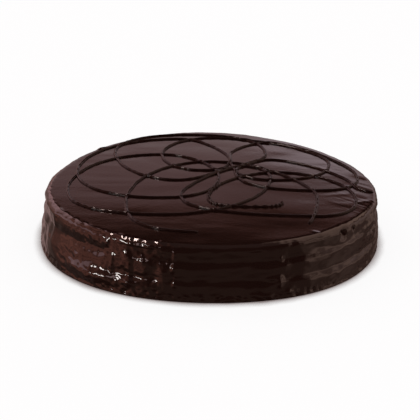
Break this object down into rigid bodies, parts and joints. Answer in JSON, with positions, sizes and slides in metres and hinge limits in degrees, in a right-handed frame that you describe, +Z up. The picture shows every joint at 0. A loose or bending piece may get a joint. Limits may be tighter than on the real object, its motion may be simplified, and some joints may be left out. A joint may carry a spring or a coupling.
{
  "type": "sachertorte cake",
  "caption": "Large round low chocolate layer cake, uncut, under poured dark glaze, with looping piped chocolate lines on its top.",
  "frame": {"origin": "the middle of the footprint, on the surface that the cake stands on", "axes": "+Z up through the cake, +X to the right and -Y towards the side that is seen first"},
  "size_m": [0.2768, 0.276, 0.0431],
  "materials": {
    "chocolate_glaze": "gloss"
  },
  "bodies": {
    "root": {"cake": "chocolate_glaze"}
  },
  "joints": []
}
